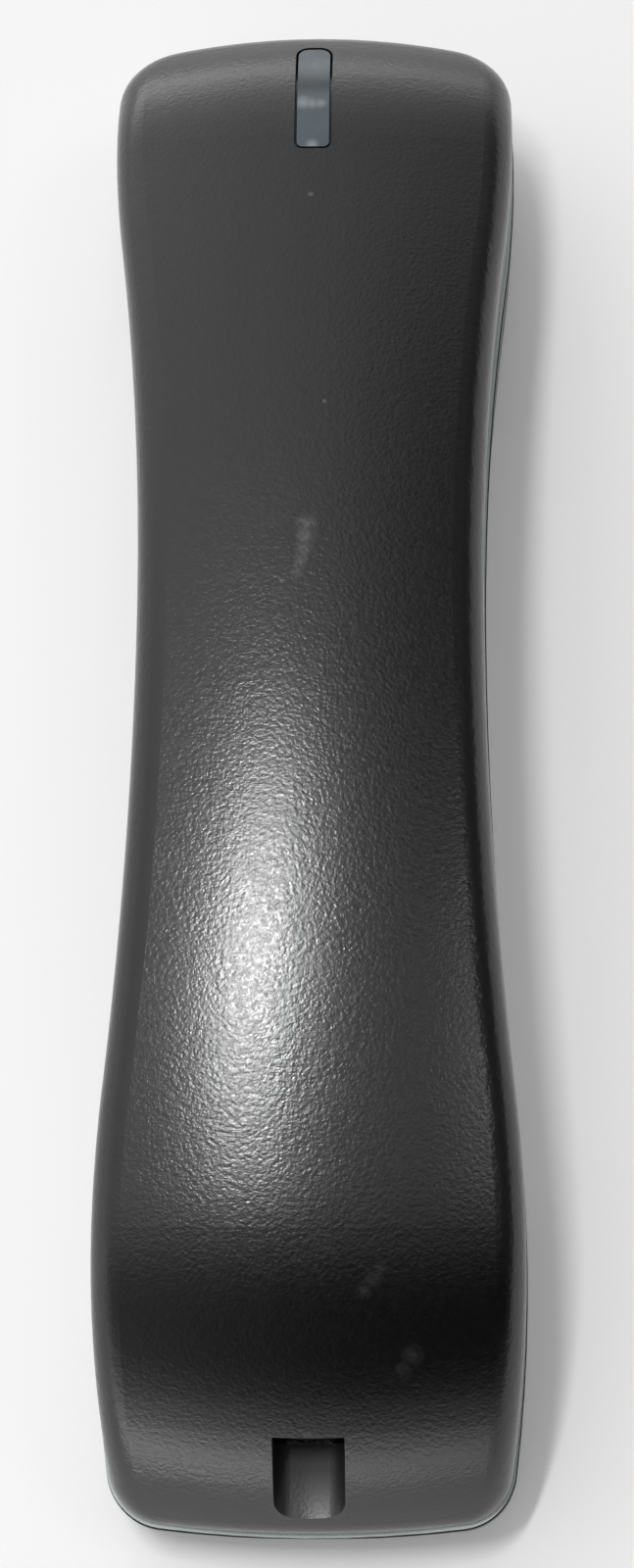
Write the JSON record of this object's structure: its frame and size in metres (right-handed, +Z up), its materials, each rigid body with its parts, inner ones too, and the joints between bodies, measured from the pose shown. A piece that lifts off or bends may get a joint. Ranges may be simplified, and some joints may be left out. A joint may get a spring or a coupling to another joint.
{
  "type": "telephone handset",
  "caption": "Corded desk telephone handset lying face down: arched back shell with light strip and socket pocket, silver joint band, ear cup, mouth cup and grip.",
  "frame": {"origin": "on the surface that the handset lies on, under the middle of its box", "axes": "+Y along the handset towards the ear end, +Z up through the arched back, +X across"},
  "size_m": [0.0566, 0.2066, 0.046],
  "materials": {
    "charcoal_plastic": "fine spark-eroded grain",
    "silver_paint": "satin silver paint on plastic",
    "smoked_lens": "smoked translucent, satin",
    "board_green": "solder resist",
    "emitter_white": "moulded",
    "dust_cloth": "thin woven",
    "foam_black": "closed-cell foam",
    "black_plastic": "moulded",
    "plated_steel": "zinc plated",
    "magnet_iron": "sintered",
    "coil_copper": "enamelled copper wire",
    "film_clear": "thin formed film",
    "screw_steel": "zinc plated",
    "boot_rubber": "moulded",
    "capsule_aluminium": "drawn",
    "contact_gilt": "gilt",
    "wire_red": "insulation",
    "wire_black": "insulation"
  },
  "bodies": {
    "root": {"back_shell": "charcoal_plastic", "front_shell": "charcoal_plastic", "trim_band": "silver_paint", "light_lens": "smoked_lens", "light_board": "board_green", "light_emitter": "emitter_white", "receiver_cloth": "dust_cloth", "receiver_gasket": "foam_black", "receiver_frame": "black_plastic", "receiver_pot": "plated_steel", "receiver_plate": "plated_steel", "receiver_magnet": "magnet_iron", "receiver_coil": "coil_copper", "receiver_diaphragm": "film_clear", "receiver_clamp": "black_plastic", "clamp_screws": "screw_steel", "microphone_cloth": "dust_cloth", "microphone_boot": "boot_rubber", "microphone_capsule": "capsule_aluminium", "balance_weight": "plated_steel", "weight_screws": "screw_steel", "jack_housing": "black_plastic", "jack_contacts": "contact_gilt", "main_board": "board_green", "board_screws": "screw_steel", "shell_screws": "screw_steel", "receiver_leads": "wire_red", "microphone_leads": "wire_black", "light_leads": "wire_black"}
  },
  "joints": []
}
